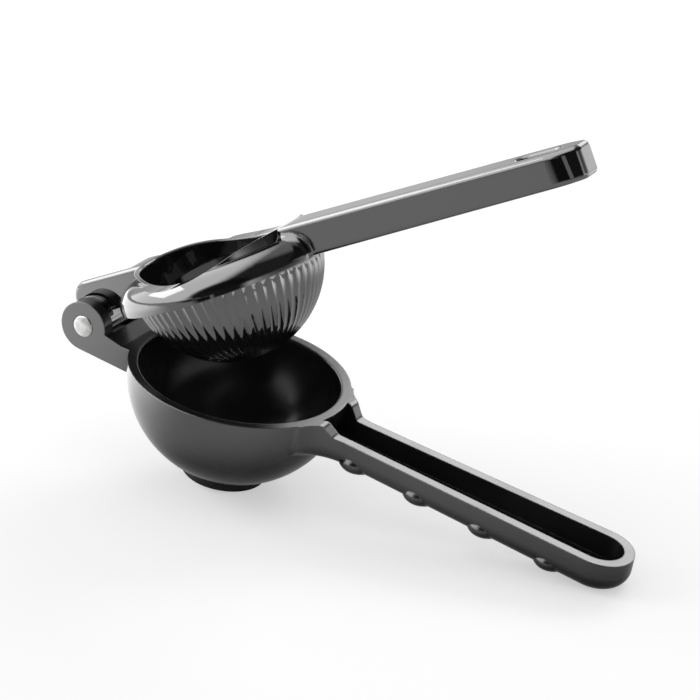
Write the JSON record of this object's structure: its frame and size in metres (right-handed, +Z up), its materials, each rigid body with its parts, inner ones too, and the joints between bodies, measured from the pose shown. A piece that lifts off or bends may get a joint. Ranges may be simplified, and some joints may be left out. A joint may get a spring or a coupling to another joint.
{
  "type": "hinged lemon squeezer",
  "caption": "Hand press for citrus halves: a bowl with a channel handle and a fluted pressing cup on an arm, hinged together by a pin.",
  "frame": {"origin": "on the table, under the middle of the part's box", "axes": "+X from the hinge to the ends of the two handles, +Y across, away from the camera of the picture, +Z up"},
  "size_m": [0.2022, 0.074, 0.1408],
  "materials": {
    "bowl_paint": "satin black paint on a die casting",
    "arm_paint": "gloss black paint on a die casting",
    "pin_steel": "polished steel rivet",
    "foot_rubber": "matt black rubber"
  },
  "bodies": {
    "lower": {"bowl_and_handle": "bowl_paint", "hinge_pin": "pin_steel", "foot_ring": "foot_rubber"},
    "upper": {"press_arm": "arm_paint"}
  },
  "joints": [
    {"name": "arm_hinge", "type": "hinge", "parent": "lower", "child": "upper", "pos_m": [-0.09235, 0, 0.0478], "axis": [0, -1, 0], "range_deg": [-35, 100]}
  ]
}
